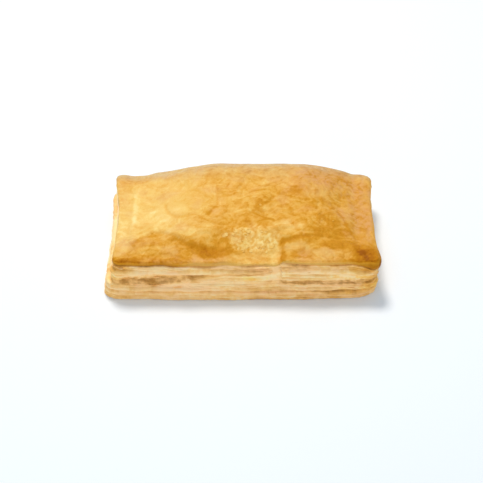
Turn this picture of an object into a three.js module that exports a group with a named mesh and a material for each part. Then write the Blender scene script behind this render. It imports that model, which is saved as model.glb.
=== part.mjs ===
// A baked puff pastry pasty: one closed slab, flat underneath, domed on top, about 143 mm long.
//
// Two laminated sheets of dough enclose a filling that doesn't show, so the pasty is one solid.
// Its top is a browned skin: a dome that falls to a pressed rim on the left, the right and the front,
// with blisters, and a tear at the front where the skin has split and dropped on its left side.
// Its sides are the cut edges of the two sheets, risen into leaves: the skin hangs over the leaves of
// the upper sheet, a deep seam parts the two sheets, and the lower sheet stands out further on the left.
//
// Millimetres. +X right, +Y to the back, +Z up. The origin is the centre of the base, on the ground.

import * as THREE from 'three';

const { abs, cos, exp, hypot, max, PI, sign, sin } = Math;
const { lerp, smoothstep } = THREE.MathUtils;

// Plans of the two sheets, as distances from the middle. 'drawn' is how far the middle of a side is
// drawn in (negative: swells out), 'lean' how much further out the back end of the left side lies than its
// middle, 'swing' how much further out the left end of the front lies than its right end, and each corner
// has a radius along X and one along Y.
const LID = {
  left: 67, right: 71, front: 36.5, back: 34.5, lean: 1.2, swing: 0,
  drawn: { left: 2.4, right: 2.3, front: -0.4, back: -2.4 },
  corners: { frontLeft: [4, 4], frontRight: [3.5, 4], backLeft: [3.5, 3.5], backRight: [5.5, 5] },
};
const BASE = {
  left: 68.8, right: 70.8, front: 37.6, back: 34.5, lean: -1, swing: 1,
  drawn: { left: 1.4, right: 1.4, front: -1.1, back: -1.8 },
  corners: { frontLeft: [9, 6], frontRight: [15, 7], backLeft: [5, 5], backRight: [9, 8] },
};
// On the left the lower sheet stands out under the upper one.
const LEDGE = { out: 1.8, in: 0.4 };

// Height of the pressed rim at the four corners. Towards the back its middle swells up, between two places
// of u on the left and two on the right.
const RIM = {
  frontLeft: 26.2, frontRight: 26.4, backLeft: 22.6, backRight: 22.2,
  swell: 6, swellLeft: [-0.75, -0.12], swellRight: [0.45, 1],
};

// The dome: its rise over the rim, and for each side where the slope starts and how wide it is.
const DOME = {
  rise: 7,
  left: { start: 6, width: 44 }, right: { start: 5, width: 36 },
  front: { start: 0.8, width: 18 }, back: { start: -2, width: 14 },
};
// The fold where the left rim meets the dome, and the line pressed between rim and dome on the right.
const LEFT_FOLD = { x: -56, width: 1.8, height: 0.7, from: -27, to: 22, edge: 5 };
const RIGHT_PRESS = { x: 60.5, width: 2.6, depth: 0.7 };

// The fold at the front left: in front of an arched line the skin lies lower. The line's y rises to a crest.
const FRONT_FOLD = {
  crest: { x: -45, rise: 12.4, left: 10.5, right: 15.5 },
  y: -30, drop: 0.8, width: 2.4,
  from: -54, to: -14, edge: 6,
};

// The tear in the skin: the skin left of x has dropped by 'drop' over a patch that fades to the left and to
// the back. Between the two rows of 'drift' the mesh's columns leave the tear's edges for their even places.
const TEAR = {
  x: 20.4, drop: 1.2, stepWidth: 0.9,
  fadeLeft: [-14, 2], fadeBack: [-18, -25],
  drift: [-0.5, 0],
};

// Blisters, bubbles and hollows of the skin that are large enough to see. A negative rise is a hollow.
const BLISTERS = [
  { name: 'large flat blister', x: -29, y: 1, radius: [13, 10], rise: 1.1 },
  { name: 'pale shoulder', x: -46, y: -8, radius: [13, 9], rise: 0.7 },
  { name: 'front left roll', x: -44, y: -26, radius: [20, 6], rise: 1.0 },
  { name: 'front middle hollow', x: -18, y: -25, radius: [13, 5], rise: -1.0 },
  { name: 'round brown blister', x: 11, y: 4, radius: [7, 7], rise: 0.9 },
  { name: 'crease behind the tear', x: 14, y: -8, radius: [9, 3], rise: -0.8 },
  { name: 'crease right of the tear', x: 27, y: -20, radius: [7, 2.6], rise: -0.9 },
  { name: 'back left dent', x: -55, y: 34, radius: [7, 9], rise: -1.6 },
  { name: 'back right swelling', x: 40, y: 16, radius: [14, 8], rise: 0.7 },
  { name: 'right plateau', x: 47, y: -8, radius: [11, 8], rise: 0.6 },
  { name: 'front right roll', x: 50, y: -29, radius: [16, 5], rise: 1.0 },
  { name: 'front right hollow', x: 49, y: -21, radius: [8, 3], rise: -0.7 },
  { name: 'right ear', x: 67, y: -31, radius: [7, 6], rise: 0.8 },
];

// Long, low waves of the skin: wavelength, direction in turns, phase and height. They flatten towards the
// back, from y = 'from' to y = 'to', until only 'left' of their height is left.
const SWELLS = [
  { length: 31, turn: 0.08, phase: 0.6, height: 0.28 },
  { length: 23, turn: 0.31, phase: 2.1, height: 0.24 },
  { length: 15.5, turn: 0.44, phase: 4.0, height: 0.18 },
  { length: 12.5, turn: 0.17, phase: 5.2, height: 0.14 },
];
const FLAT_BACK = { from: 14, to: 30, left: 0.25 };

// The leaves of the side from the top down. 'foot' is where a leaf ends, as a share of the side's height,
// 'nose' how far it stands out, 'groove' how deep the gap under it is, 'wander' how far its foot wanders,
// and 'tearLeft' and 'tearRight' how far the foot is drawn up (or down) beside the tear. The seam between the
// two sheets is a channel, so its nose lies behind the others.
const LEAVES = [
  { name: 'skin', foot: 0.885, nose: 0.6, groove: 1.0, wander: 0.006, tearLeft: 0.05, tearRight: 0.06 },
  { name: 'upper 1', foot: 0.785, nose: 0.5, groove: 0.5, wander: 0.014, tearLeft: 0.05, tearRight: -0.05 },
  { name: 'upper 2', foot: 0.64, nose: 0.9, groove: 0.7, wander: 0.02, tearLeft: 0.14, tearRight: -0.03 },
  { name: 'upper 3', foot: 0.485, nose: 0.5, groove: 1.1, wander: 0.014, tearLeft: 0.04, tearRight: 0.02 },
  { name: 'seam', foot: 0.42, nose: -0.8, groove: 0.8, wander: 0.014, tearLeft: 0.02, tearRight: 0.01 },
  { name: 'lower 1', foot: 0.325, nose: 0.5, groove: 0.6, wander: 0.018, tearLeft: 0, tearRight: 0 },
  { name: 'lower 2', foot: 0.225, nose: 0.9, groove: 1.2, wander: 0.012, tearLeft: 0, tearRight: 0 },
  { name: 'base 1', foot: 0.11, nose: 0.7, groove: 0.4, wander: 0.012, tearLeft: 0, tearRight: 0 },
  { name: 'base 2', foot: 0, nose: 0.3, groove: 0.7, wander: 0, tearLeft: 0, tearRight: 0 },
];
const LOWER_SHEET = ['lower 1', 'lower 2', 'base 1', 'base 2'];
const LEAF_SHOULDER = 0.2; // the share of a leaf's thickness that its rounded edges take
const UPPER_REACH = 0.8; // how far its upper shoulder stands out, as a share of its nose
const NOSE_WAVE = 0.45; // how far the noses wander in and out
const TEAR_REACH = { left: 11, right: 6 }; // how far along the side the tear draws the leaves
// The crumbled leaves at the front left, the place where the skin's edge hangs lower, and where it lies flush
// with the leaves on both sides of the tear.
const TOASTED = { from: -58, to: -30, edge: 6, recess: 0.8, leaves: ['upper 3', 'lower 1'] };
const LIP_SAG = { x: -23, width: 8, share: 0.03 };
const LIP_THIN = { from: -22, to: 24, edge: 7 };
// The ear of skin at the front right corner: it stands out further, and it and the leaves under it hang lower
// by shares of the height.
const EAR = {
  x: 71, y: -34, radius: 7.5, reach: 1.4,
  shares: { 'skin': 0.19, 'upper 1': 0.16, 'upper 2': 0.07 },
};

// The mesh: columns and rows of the top, closer together near the rim.
const COLUMNS = 50;
const ROWS = 27;
const RIM_CROWDING = 0.5;
const COLOUR = 0xe6b05c;

const corner = (plan, u, v) =>
  plan.corners[(v < 0 ? 'front' : 'back') + (u < 0 ? 'Left' : 'Right')];

// A place 'gap' from the end of a side of length 'half': how far out it lies, and the turn of the corner's
// arc there, which is halved between the corner's two sides.
function roundedEnd(half, gap, radius) {
  if (gap >= radius) return { along: half - gap, turn: 0 };
  const turn = (PI / 4) * (1 - gap / radius);
  return { along: half - radius + radius * sin(turn), turn };
}

// A point on a plan's outline, where u or v is -1 or 1.
function outlinePoint(plan, u, v) {
  const halfX = u < 0 ? plan.left : plan.right;
  const halfY = v < 0 ? plan.front : plan.back;
  const [radiusX, radiusY] = corner(plan, u, v);
  const lean = (-plan.lean * v * (1 - u)) / 2;
  const swing = (-plan.swing * (1 - v) * (1 - u)) / 4;
  if (abs(v) === 1) {
    const drawn = (v < 0 ? plan.drawn.front : plan.drawn.back) * (1 - u * u);
    const { along, turn } = roundedEnd(halfX, (1 - abs(u)) * halfX, radiusX);
    return [sign(u) * along + lean, v * (halfY - radiusY + radiusY * cos(turn) - drawn) + swing];
  }
  const drawn = (u < 0 ? plan.drawn.left : plan.drawn.right) * (1 - v * v);
  const { along, turn } = roundedEnd(halfY, (1 - abs(v)) * halfY, radiusY);
  return [u * (halfX - radiusX + radiusX * cos(turn) - drawn) + lean, sign(v) * along + swing];
}

// A point of the lid's plan, blended from the four sides of its outline.
function planPoint(plan, u, v) {
  const a = (1 + u) / 2;
  const b = (1 + v) / 2;
  const [left, right, front, back] =
    [[-1, v], [1, v], [u, -1], [u, 1]].map(([p, q]) => outlinePoint(plan, p, q));
  const [frontLeft, frontRight, backLeft, backRight] =
    [[-1, -1], [1, -1], [-1, 1], [1, 1]].map(([p, q]) => outlinePoint(plan, p, q));
  return [0, 1].map((i) =>
    lerp(left[i], right[i], a) + lerp(front[i], back[i], b)
    - lerp(lerp(frontLeft[i], frontRight[i], a), lerp(backLeft[i], backRight[i], a), b));
}

function rimHeight(u, v) {
  const a = (1 + u) / 2;
  const b = (1 + v) / 2;
  const flat = lerp(lerp(RIM.frontLeft, RIM.frontRight, a), lerp(RIM.backLeft, RIM.backRight, a), b);
  const inMiddle = smoothstep(u, ...RIM.swellLeft) * (1 - smoothstep(u, ...RIM.swellRight));
  return flat + RIM.swell * inMiddle * b * b;
}

const slope = (side, distance) => smoothstep(distance, side.start, side.start + side.width);

function domeHeight(x, y) {
  return DOME.rise
    * slope(DOME.left, x + LID.left) * slope(DOME.right, LID.right - x)
    * slope(DOME.front, y + LID.front) * slope(DOME.back, LID.back - LID.drawn.back - y);
}

const bell = (distance, width) => exp(-((distance / width) ** 2));

// 1 along a stretch and 0 beyond it, with a soft edge at both ends.
const stretch = (place, { from, to, edge }) =>
  smoothstep(place, from - edge, from) * (1 - smoothstep(place, to, to + edge));

// How far the skin is dropped beside the tear: all of it just left of the tear, nothing right of it.
function tearDrop(x, y) {
  const rightOfTear = smoothstep(x, TEAR.x - TEAR.stepWidth / 2, TEAR.x + TEAR.stepWidth / 2);
  const alongX = smoothstep(x, ...TEAR.fadeLeft) * (1 - rightOfTear);
  return TEAR.drop * alongX * (1 - smoothstep(y, TEAR.fadeBack[1], TEAR.fadeBack[0]));
}

// How far the skin lies lower in front of the fold's line.
function foldDrop(x, y) {
  const { crest } = FRONT_FOLD;
  const line = FRONT_FOLD.y + crest.rise * bell(x - crest.x, x < crest.x ? crest.left : crest.right);
  const inFront = 1 - smoothstep(y, line, line + FRONT_FOLD.width);
  return FRONT_FOLD.drop * inFront * stretch(x, FRONT_FOLD);
}

function skinRelief(x, y) {
  let height = -foldDrop(x, y);
  for (const b of BLISTERS) {
    height += b.rise * exp(-(hypot((x - b.x) / b.radius[0], (y - b.y) / b.radius[1]) ** 4));
  }
  const swelling = 1 - (1 - FLAT_BACK.left) * smoothstep(y, FLAT_BACK.from, FLAT_BACK.to);
  for (const s of SWELLS) {
    const along = x * cos(2 * PI * s.turn) + y * sin(2 * PI * s.turn);
    height += swelling * s.height * sin((2 * PI * along) / s.length + s.phase);
  }
  height += LEFT_FOLD.height * bell(x - LEFT_FOLD.x, LEFT_FOLD.width) * stretch(y, LEFT_FOLD);
  height -= RIGHT_PRESS.depth * bell(x - RIGHT_PRESS.x, RIGHT_PRESS.width);
  return height;
}

function topPoint(u, v) {
  const [x, y] = planPoint(LID, u, v);
  return [x, y, rimHeight(u, v) + domeHeight(x, y) + skinRelief(x, y) - tearDrop(x, y)];
}

// Even steps from -1 to 1, drawn together towards both ends.
function crowdedSteps(count) {
  return Array.from({ length: count + 1 }, (_, i) => {
    const t = (2 * i) / count - 1;
    return (1 - RIM_CROWDING) * t + RIM_CROWDING * sin((PI / 2) * t);
  });
}

// The grid of the top as rows of (u, v). In front, the two columns nearest the tear run along its two edges,
// so that its step is sharp, and towards the back they drift to their even places.
function gridSteps() {
  const columns = crowdedSteps(COLUMNS);
  const tear = TEAR.x / LID.right;
  const edge = TEAR.stepWidth / 2 / LID.right;
  const after = columns.findIndex((u) => u > tear);
  return crowdedSteps(ROWS).map((v) => {
    const drift = smoothstep(v, ...TEAR.drift);
    const row = columns.map((u) => [u, v]);
    row[after - 1][0] = lerp(tear - edge, columns[after - 1], drift);
    row[after][0] = lerp(tear + edge, columns[after], drift);
    return row;
  });
}

// The outline of the grid as a closed list of [row, column], anticlockwise from the front left corner.
function rimCells() {
  const across = Array.from({ length: COLUMNS }, (_, i) => i);
  const along = Array.from({ length: ROWS }, (_, j) => j);
  return [
    ...across.map((i) => [0, i]),
    ...along.map((j) => [j, COLUMNS]),
    ...across.map((i) => [ROWS, COLUMNS - i]),
    ...along.map((j) => [ROWS - j, 0]),
  ];
}

// The stations round the side: each has its lid and base point, its outward direction and its way round.
function sideStations(rim) {
  const stations = rim.map(([u, v]) => {
    const lid = topPoint(u, v);
    return { v, lid, base: outlinePoint(BASE, u, v), drop: tearDrop(lid[0], lid[1]) };
  });
  const count = stations.length;
  stations.forEach((s, i) => {
    const before = stations[(i + count - 1) % count].base;
    const after = stations[(i + 1) % count].base;
    const length = hypot(after[0] - before[0], after[1] - before[1]);
    s.out = [(after[1] - before[1]) / length, (before[0] - after[0]) / length];
  });
  let way = 0;
  stations.forEach((s, i) => {
    const before = stations[(i + count - 1) % count].base;
    way += i === 0 ? 0 : hypot(s.base[0] - before[0], s.base[1] - before[1]);
    s.way = way;
  });
  stations.forEach((s) => { s.turn = (2 * PI * s.way) / way; });
  return stations;
}

// Smooth wandering round the side, from -1 to 1, different for each leaf.
const wander = (turn, leaf) =>
  0.45 * sin(7 * turn + 2.4 * leaf)
  + 0.35 * sin(13 * turn + 4.1 * leaf + 1)
  + 0.2 * sin(29 * turn + 1.7 * leaf + 2);

const onFront = (station) => station.v === -1;

// 1 at the ear, 0 away from it.
const nearEar = ({ lid }) => bell(hypot(lid[0] - EAR.x, lid[1] - EAR.y), EAR.radius);

function footShare(leaf, index, station) {
  let share = leaf.foot + leaf.wander * wander(station.turn, index);
  if (onFront(station)) {
    const x = station.lid[0];
    const drawnUp = x < TEAR.x ? leaf.tearLeft : leaf.tearRight;
    const reach = x < TEAR.x ? TEAR_REACH.left : TEAR_REACH.right;
    share += drawnUp * exp(-abs(x - TEAR.x) / reach);
    share -= leaf.name === 'skin' ? LIP_SAG.share * bell(x - LIP_SAG.x, LIP_SAG.width) : 0;
  }
  return share - (EAR.shares[leaf.name] ?? 0) * nearEar(station);
}

// How far the sheet that a leaf belongs to stands out at a station, because of the ledge on the left.
function sheetReach(leaf, station) {
  const facingLeft = max(0, -station.out[0]) ** 2;
  return facingLeft * (LOWER_SHEET.includes(leaf.name) ? LEDGE.out : -LEDGE.in);
}

function noseReach(leaf, index, station) {
  let reach = leaf.nose + NOSE_WAVE * wander(station.turn, index + LEAVES.length);
  if (onFront(station)) {
    const x = station.lid[0];
    reach -= leaf.name === 'skin' ? stretch(x, LIP_THIN) * leaf.nose : 0;
    reach -= TOASTED.leaves.includes(leaf.name) ? stretch(x, TOASTED) * TOASTED.recess : 0;
  }
  return leaf.name === 'skin' ? reach + EAR.reach * nearEar(station) : reach;
}

// A point of the side at a share of its height, standing out from the line between base and lid by 'reach'.
// The skin's drop beside the tear soon fades out on the way down.
function sidePoint(station, share, reach) {
  const { lid, base, out, drop } = station;
  return [
    lerp(base[0], lid[0], share) + out[0] * reach,
    lerp(base[1], lid[1], share) + out[1] * reach,
    (lid[2] + drop) * share - drop * share ** 4,
  ];
}

// The rings of the side from the top down: for each leaf its two shoulders and the groove under it.
function sideRings(stations) {
  const rings = [];
  LEAVES.forEach((leaf, index) => {
    const ends = stations.map((station) => ({
      station,
      head: index === 0 ? 1 : footShare(LEAVES[index - 1], index - 1, station),
      foot: footShare(leaf, index, station),
      reach: noseReach(leaf, index, station),
      sheet: sheetReach(leaf, station),
    }));
    const ring = (share, reachOf) =>
      ends.map((e) => sidePoint(e.station, lerp(e.head, e.foot, share), e.sheet + reachOf(e)));
    rings.push(ring(LEAF_SHOULDER, (e) => e.reach * UPPER_REACH));
    rings.push(ring(1 - LEAF_SHOULDER, (e) => e.reach));
    rings.push(ring(1, () => -leaf.groove));
  });
  return rings;
}

// The whole closed surface: the grid of the top, the rings of the side below its outline, and the flat base.
function pastyGeometry() {
  const steps = gridSteps();
  const points = steps.flat().map(([u, v]) => topPoint(u, v));
  const faces = [];
  const quad = (a, b, c, d) => faces.push([a, b, c], [a, c, d]);

  const width = COLUMNS + 1;
  for (let j = 0; j < ROWS; j++) {
    for (let i = 0; i < COLUMNS; i++) {
      const a = j * width + i;
      quad(a, a + 1, a + width + 1, a + width);
    }
  }

  const rim = rimCells();
  let above = rim.map(([j, i]) => j * width + i);
  for (const ring of sideRings(sideStations(rim.map(([j, i]) => steps[j][i])))) {
    const below = ring.map((p) => points.push(p) - 1);
    below.forEach((b, i) => {
      const next = (i + 1) % below.length;
      quad(above[i], b, below[next], above[next]);
    });
    above = below;
  }

  const foot = above.map((i) => new THREE.Vector2(points[i][0], points[i][1]));
  for (const [a, b, c] of THREE.ShapeUtils.triangulateShape(foot, [])) {
    faces.push([above[a], above[c], above[b]]);
  }

  const geometry = new THREE.BufferGeometry();
  geometry.setAttribute('position', new THREE.Float32BufferAttribute(points.flat(), 3));
  geometry.setIndex(faces.flat());
  geometry.computeBoundingBox();
  const { min: low, max: high } = geometry.boundingBox;
  geometry.translate(-(low.x + high.x) / 2, -(low.y + high.y) / 2, -low.z);
  geometry.computeVertexNormals();
  return geometry;
}

const crust = new THREE.MeshStandardMaterial({ color: COLOUR, roughness: 0.55, metalness: 0 });
const pasty = new THREE.Mesh(pastyGeometry(), crust);
pasty.name = 'pasty';

const part = new THREE.Group();
part.add(pasty);

export default part;
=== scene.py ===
"""A baked puff pastry pasty on a white table, seen from in front and above.

The pasty is one closed mesh: a browned, crackled skin over a soft dome, thin leaves of dough round the sides
and a baked underside. Loose flakes lie on the skin, most of them by its tear, and slivers of dough stand off
the sides.
The form's named sizes are in millimetres, with +X to the right, +Y to the back and +Z up.
"""

import math
from collections import namedtuple

import bpy
import numpy as np
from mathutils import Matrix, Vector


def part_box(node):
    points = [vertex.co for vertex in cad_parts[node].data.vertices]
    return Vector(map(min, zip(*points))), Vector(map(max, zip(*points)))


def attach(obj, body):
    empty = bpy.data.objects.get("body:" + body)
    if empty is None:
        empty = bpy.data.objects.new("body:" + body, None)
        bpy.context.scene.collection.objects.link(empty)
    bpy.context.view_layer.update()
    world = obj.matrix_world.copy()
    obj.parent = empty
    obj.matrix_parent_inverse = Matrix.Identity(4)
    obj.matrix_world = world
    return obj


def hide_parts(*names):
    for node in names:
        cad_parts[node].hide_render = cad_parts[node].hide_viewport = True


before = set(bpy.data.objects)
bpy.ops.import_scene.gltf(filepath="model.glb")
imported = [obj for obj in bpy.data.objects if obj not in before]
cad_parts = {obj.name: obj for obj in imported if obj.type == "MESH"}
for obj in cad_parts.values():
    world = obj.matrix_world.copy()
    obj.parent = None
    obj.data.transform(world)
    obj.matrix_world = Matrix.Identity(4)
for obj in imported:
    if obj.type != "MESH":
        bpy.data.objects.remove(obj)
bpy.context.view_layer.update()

MM = 0.001

# --- Form
# The plans of the two sheets, as distances from the middle: 'drawn' is how far the middle of a side is drawn
# in, 'lean' how much further out the back of the left side lies, 'swing' how much further out the left of the
# front lies, and each corner has a radius along x and one along y.
LID = {
    "left": 67, "right": 71, "front": 36.5, "back": 34.5, "lean": 1.2, "swing": 0,
    "drawn": {"left": 2.4, "right": 2.3, "front": -0.4, "back": -2.4},
    "corners": {
        "front_left": (4, 4), "front_right": (3.5, 4), "back_left": (3.5, 3.5), "back_right": (5.5, 5),
    },
}
BASE = {
    "left": 68.8, "right": 70.8, "front": 37.6, "back": 34.5, "lean": -1, "swing": 1,
    "drawn": {"left": 1.4, "right": 1.4, "front": -1.1, "back": -1.8},
    "corners": {
        "front_left": (9, 6), "front_right": (15, 7), "back_left": (5, 5), "back_right": (9, 8),
    },
}
# On the left the lower sheet stands out under the upper one.
LEDGE = {"out": 1.8, "in": 0.4}

# Height of the pressed rim at its corners, and its swell towards the back between two places on each side.
RIM = {"front_left": 26.2, "front_right": 26.4, "back_left": 22.6, "back_right": 22.2}
SWELL = {"height": 6, "left": (-0.75, -0.12), "right": (0.45, 1)}

# The dome's rise over the rim, and where each slope starts and how wide it is.
DOME_RISE = 7
SLOPES = {"left": (6, 44), "right": (5, 36), "front": (0.8, 18), "back": (-2, 14)}
LEFT_FOLD = {"x": -56, "width": 1.8, "height": 0.7, "stretch": (-27, 22, 5)}
RIGHT_PRESS = {"x": 60.5, "width": 2.6, "depth": 0.7}

# The fold at the front left: in front of an arched line the skin lies lower. The line's y rises to a crest.
FRONT_FOLD = {"crest": -45, "rise": 12.4, "left": 10.5, "right": 15.5, "y": -30,
              "drop": 0.8, "width": 2.4, "stretch": (-54, -14, 6)}

# The tear: the skin left of x has dropped, over a patch that fades to the left and to the back.
TEAR = {"x": 20.4, "drop": 1.2, "step": 0.9, "fade_left": (-14, 2), "fade_back": (-25, -18)}

# Blisters and hollows of the skin: x, y, radius along x, radius along y, rise.
BLISTERS = {
    "large flat blister": (-29, 1, 13, 10, 1.1),
    "pale shoulder": (-46, -8, 13, 9, 0.7),
    "front left roll": (-44, -26, 20, 6, 1.0),
    "front middle hollow": (-18, -25, 13, 5, -1.0),
    "round brown blister": (11, 4, 7, 7, 0.9),
    "crease behind the tear": (14, -8, 9, 3, -0.8),
    "crease right of the tear": (27, -20, 7, 2.6, -0.9),
    "back left dent": (-55, 34, 7, 9, -1.6),
    "back right swelling": (40, 16, 14, 8, 0.7),
    "right plateau": (47, -8, 11, 8, 0.6),
    "front right roll": (50, -29, 16, 5, 1.0),
    "front right hollow": (49, -21, 8, 3, -0.7),
    "right ear": (67, -31, 7, 6, 0.8),
}
BLISTER_EDGE = 4
# Long, low waves of the skin: wavelength, direction in turns, phase, height. Between two y they flatten to a
# share of their height.
SWELLS = ((31, 0.08, 0.6, 0.28), (23, 0.31, 2.1, 0.24), (15.5, 0.44, 4.0, 0.18), (12.5, 0.17, 5.2, 0.14))
FLAT_BACK = {"from": 14, "to": 30, "left": 0.25}

# The leaves of the side from the top down. A leaf's foot is a share of the side's height, and so are how far
# it wanders and how far it is drawn up on the left and the right of the tear. Its nose and the groove under
# it are in millimetres, and it splits into thin parts.
Leaf = namedtuple("Leaf", "name foot nose groove wandering tear_left tear_right parts")
LEAVES = [Leaf(*values) for values in (
    ("skin", 0.885, 0.6, 1.0, 0.006, 0.05, 0.06, 1),
    ("upper 1", 0.785, 0.5, 0.4, 0.014, 0.05, -0.05, 2),
    ("upper 2", 0.64, 0.9, 0.5, 0.02, 0.14, -0.03, 1),
    ("upper 3", 0.485, 0.5, 0.9, 0.014, 0.04, 0.02, 2),
    ("seam", 0.42, -0.5, 0.5, 0.014, 0.02, 0.01, 1),
    ("lower 1", 0.325, 0.5, 0.4, 0.018, 0, 0, 2),
    ("lower 2", 0.225, 0.9, 0.8, 0.012, 0, 0, 1),
    ("base 1", 0.11, 0.7, 0.3, 0.012, 0, 0, 1),
    ("base 2", 0, 0.3, 0.5, 0, 0, 0, 2),
)]
LOWER_SHEET = ("lower 1", "lower 2", "base 1", "base 2")
BESIDE_SEAM = ("upper 3", "seam")
NOSE_WAVE = 0.45
TEAR_REACH = {"left": 11, "right": 6}
# Where toasted leaves are set back, and where the skin's edge, the lip, sags and where it is thin.
TOASTED = {"stretch": (-58, -30, 6), "recess": 0.8, "leaves": ("upper 3", "lower 1")}
LIP_SAG = {"x": -23, "width": 8, "share": 0.03}
LIP_THIN = (-22, 24, 7)
# The ear of skin at the front right corner: it stands out further, and it and the leaves under it hang lower
# by shares of the height.
EAR = {"x": 71, "y": -34, "radius": 7.5, "reach": 1.4,
       "shares": {"skin": 0.19, "upper 1": 0.16, "upper 2": 0.07}}

# Mesh resolution: the top's columns and rows, which crowd towards the rim, and the rows of each thin leaf as
# shares of its thickness. Between two v, the columns at the tear drift to their even places.
COLUMNS = 264
ROWS = 140
RIM_CROWDING = 0.3
TEAR_DRIFT = (-0.5, 0)
LEAF_ROWS = (0.14, 0.4, 0.68, 0.88, 1.0)


def rgb(red, green, blue):
    """A colour of 0 to 255 as the linear values that the shaders take."""
    shares = [channel / 255 for channel in (red, green, blue)]
    return (*(c / 12.92 if c <= 0.04 else ((c + 0.055) / 1.055) ** 2.4 for c in shares), 1.0)


def smoothstep(value, low, high):
    t = np.clip((value - low) / (high - low), 0, 1)
    return t * t * (3 - 2 * t)


def stretch(place, low, high, edge):
    """1 along a stretch and 0 beyond it, with a soft edge at both ends."""
    return smoothstep(place, low - edge, low) * (1 - smoothstep(place, high, high + edge))


def bell(distance, width):
    return np.exp(-((distance / width) ** 2))


def lerp(a, b, share):
    return a + (b - a) * share


def profile(table, x):
    """The value at x of a table of places and values."""
    return np.interp(x, *zip(*table))


class Noise:
    """Smooth gradient noise in the plane, from about -1 to 1, the same on each run."""

    CELLS = 256
    GAIN = 1.4

    def __init__(self, seed):
        turn = np.random.default_rng(seed).uniform(0, 2 * np.pi, (self.CELLS, self.CELLS))
        self.slope_x, self.slope_y = np.cos(turn), np.sin(turn)

    def __call__(self, x, y, wrap=CELLS):
        """x repeats after 'wrap' cells."""
        cell_x, cell_y = np.floor(x).astype(int), np.floor(y).astype(int)
        in_x, in_y = x - cell_x, y - cell_y
        fade_x = in_x ** 3 * (in_x * (6 * in_x - 15) + 10)
        fade_y = in_y ** 3 * (in_y * (6 * in_y - 15) + 10)

        def corner(right, up):
            column, row = (cell_x + right) % wrap % self.CELLS, (cell_y + up) % self.CELLS
            return self.slope_x[row, column] * (in_x - right) + self.slope_y[row, column] * (in_y - up)

        low = lerp(corner(0, 0), corner(1, 0), fade_x)
        high = lerp(corner(0, 1), corner(1, 1), fade_x)
        return self.GAIN * lerp(low, high, fade_y)


class Cells:
    """Uneven cells in the plane: how far a place is from its cell's border, and the cell's own level."""

    COUNT = 128
    SPOTS = (0.05, 0.95)
    FAR = 9.0

    def __init__(self, seed):
        draw = np.random.default_rng(seed)
        self.spot_x, self.spot_y = draw.uniform(*self.SPOTS, (2, self.COUNT, self.COUNT))
        self.level = draw.uniform(-1, 1, (self.COUNT, self.COUNT))

    def __call__(self, x, y):
        cell_x, cell_y = np.floor(x).astype(int), np.floor(y).astype(int)
        nearest, second, level = np.full(x.shape, self.FAR), np.full(x.shape, self.FAR), np.zeros(x.shape)
        for right in (-1, 0, 1):
            for up in (-1, 0, 1):
                column, row = cell_x + right, cell_y + up
                at = (row % self.COUNT, column % self.COUNT)
                away = np.hypot(column + self.spot_x[at] - x, row + self.spot_y[at] - y)
                closer = away < nearest
                second = np.where(closer, nearest, np.minimum(second, away))
                level = np.where(closer, self.level[at], level)
                nearest = np.where(closer, away, nearest)
        return second - nearest, level


# --- Plan, rim and dome
def rounded_end(half, gap, radius):
    """A place 'gap' from the end of a side: how far out it lies, and the turn of the corner's arc there."""
    turn = (math.pi / 4) * np.clip(1 - gap / radius, 0, 1)
    along = np.where(gap < radius, half - radius + radius * np.sin(turn), half - gap)
    return along, turn


def outline_point(plan, place, side, on_end=True):
    """A point of a plan's front (side -1) or back (side 1) at u, or else of its left or right at v."""
    u, v = (place, side) if on_end else (side, place)
    left, front = np.less(u, 0), np.less(v, 0)
    half_x, half_y = np.where(left, plan["left"], plan["right"]), np.where(front, plan["front"], plan["back"])
    corners = plan["corners"]
    radius_x, radius_y = (
        np.where(front, np.where(left, corners["front_left"][axis], corners["front_right"][axis]),
                 np.where(left, corners["back_left"][axis], corners["back_right"][axis]))
        for axis in (0, 1)
    )
    lean = -plan["lean"] * v * (1 - u) / 2
    swing = -plan["swing"] * (1 - v) * (1 - u) / 4
    if on_end:
        drawn = plan["drawn"]["front" if side < 0 else "back"] * (1 - u * u)
        along, turn = rounded_end(half_x, (1 - np.abs(u)) * half_x, radius_x)
        return np.sign(u) * along + lean, v * (half_y - radius_y + radius_y * np.cos(turn) - drawn) + swing
    drawn = plan["drawn"]["left" if side < 0 else "right"] * (1 - v * v)
    along, turn = rounded_end(half_y, (1 - np.abs(v)) * half_y, radius_y)
    return u * (half_x - radius_x + radius_x * np.cos(turn) - drawn) + lean, np.sign(v) * along + swing


def plan_points(plan, u, v):
    """Points of a plan, blended from the four sides of its outline."""
    a, b = (1 + u) / 2, (1 + v) / 2
    front, back = (np.array(outline_point(plan, u, side)) for side in (-1, 1))
    left, right = (np.array(outline_point(plan, v, side, on_end=False)) for side in (-1, 1))
    front_left, front_right, back_left, back_right = (
        np.array(outline_point(plan, np.array(float(place)), side)).reshape(2, *(1,) * np.ndim(u))
        for side in (-1, 1) for place in (-1, 1)
    )
    blended = lerp(left, right, a) + lerp(front, back, b)
    return blended - lerp(lerp(front_left, front_right, a), lerp(back_left, back_right, a), b)


def rim_height(u, v):
    a, b = (1 + u) / 2, (1 + v) / 2
    front, back = lerp(RIM["front_left"], RIM["front_right"], a), lerp(RIM["back_left"], RIM["back_right"], a)
    in_middle = smoothstep(u, *SWELL["left"]) * (1 - smoothstep(u, *SWELL["right"]))
    return lerp(front, back, b) + SWELL["height"] * in_middle * b * b


def dome_height(x, y):
    distances = {
        "left": x + LID["left"], "right": LID["right"] - x,
        "front": y + LID["front"], "back": LID["back"] - LID["drawn"]["back"] - y,
    }
    height = DOME_RISE
    for side, (start, width) in SLOPES.items():
        height = height * smoothstep(distances[side], start, start + width)
    return height


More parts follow.
